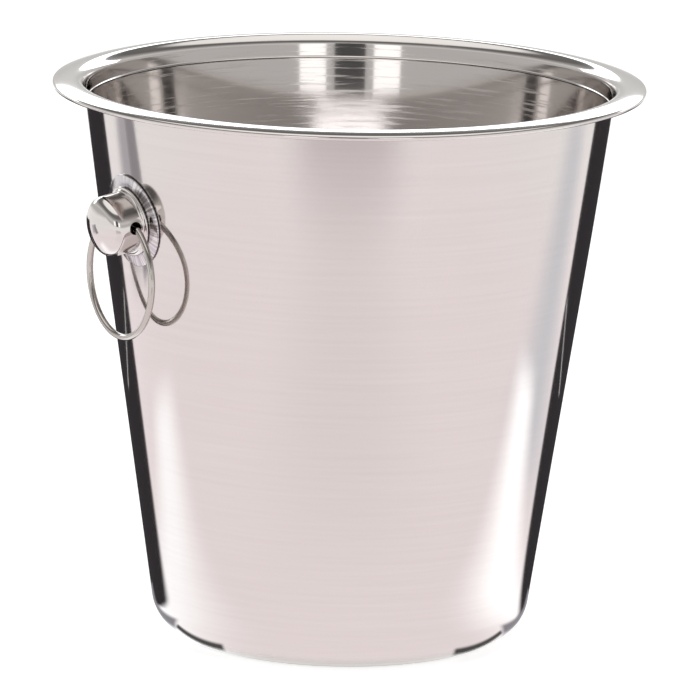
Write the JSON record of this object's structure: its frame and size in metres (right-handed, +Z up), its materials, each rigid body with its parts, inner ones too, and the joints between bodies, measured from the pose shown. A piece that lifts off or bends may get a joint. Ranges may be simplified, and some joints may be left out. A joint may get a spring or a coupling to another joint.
{
  "type": "champagne bucket",
  "caption": "Tapered mirror-polished steel champagne bucket with a rolled, arched rim and drop-ring handles that hang from hollow knobs on its sides.",
  "frame": {"origin": "middle of the base, on the surface the bucket stands on", "axes": "+Z up through the middle of the mouth; -X points to the left handle; the right handle stands 6 degrees from +X towards +Y"},
  "size_m": [0.22, 0.22, 0.2093],
  "materials": {
    "mirror_steel": "mirror-polished stainless steel with faint spinning lines",
    "ring_steel": "tumbled and lightly polished stainless steel wire",
    "plain_steel": "machined stainless steel, satin",
    "seal_rubber": "black moulded rubber, matt"
  },
  "bodies": {
    "bucket": {"bucket_shell": "mirror_steel", "left_rosette": "mirror_steel", "left_knob": "mirror_steel", "left_knob_boss": "plain_steel", "left_seal_washer": "seal_rubber", "left_steel_washer": "plain_steel", "left_screw": "plain_steel", "right_rosette": "mirror_steel", "right_knob": "mirror_steel", "right_knob_boss": "plain_steel", "right_seal_washer": "seal_rubber", "right_steel_washer": "plain_steel", "right_screw": "plain_steel"},
    "left_ring": {"left_ring": "ring_steel"},
    "right_ring": {"right_ring": "ring_steel"}
  },
  "joints": [
    {"name": "left_ring_swing", "type": "hinge", "parent": "bucket", "child": "left_ring", "pos_m": [-0.09712, 0, 0.16345], "axis": [0, 1, 0], "range_deg": [-12.5, 175.5]},
    {"name": "right_ring_swing", "type": "hinge", "parent": "bucket", "child": "right_ring", "pos_m": [0.09659, 0.01015, 0.16345], "axis": [0.1045, -0.9945, 0], "range_deg": [-12.5, 175.5]}
  ]
}
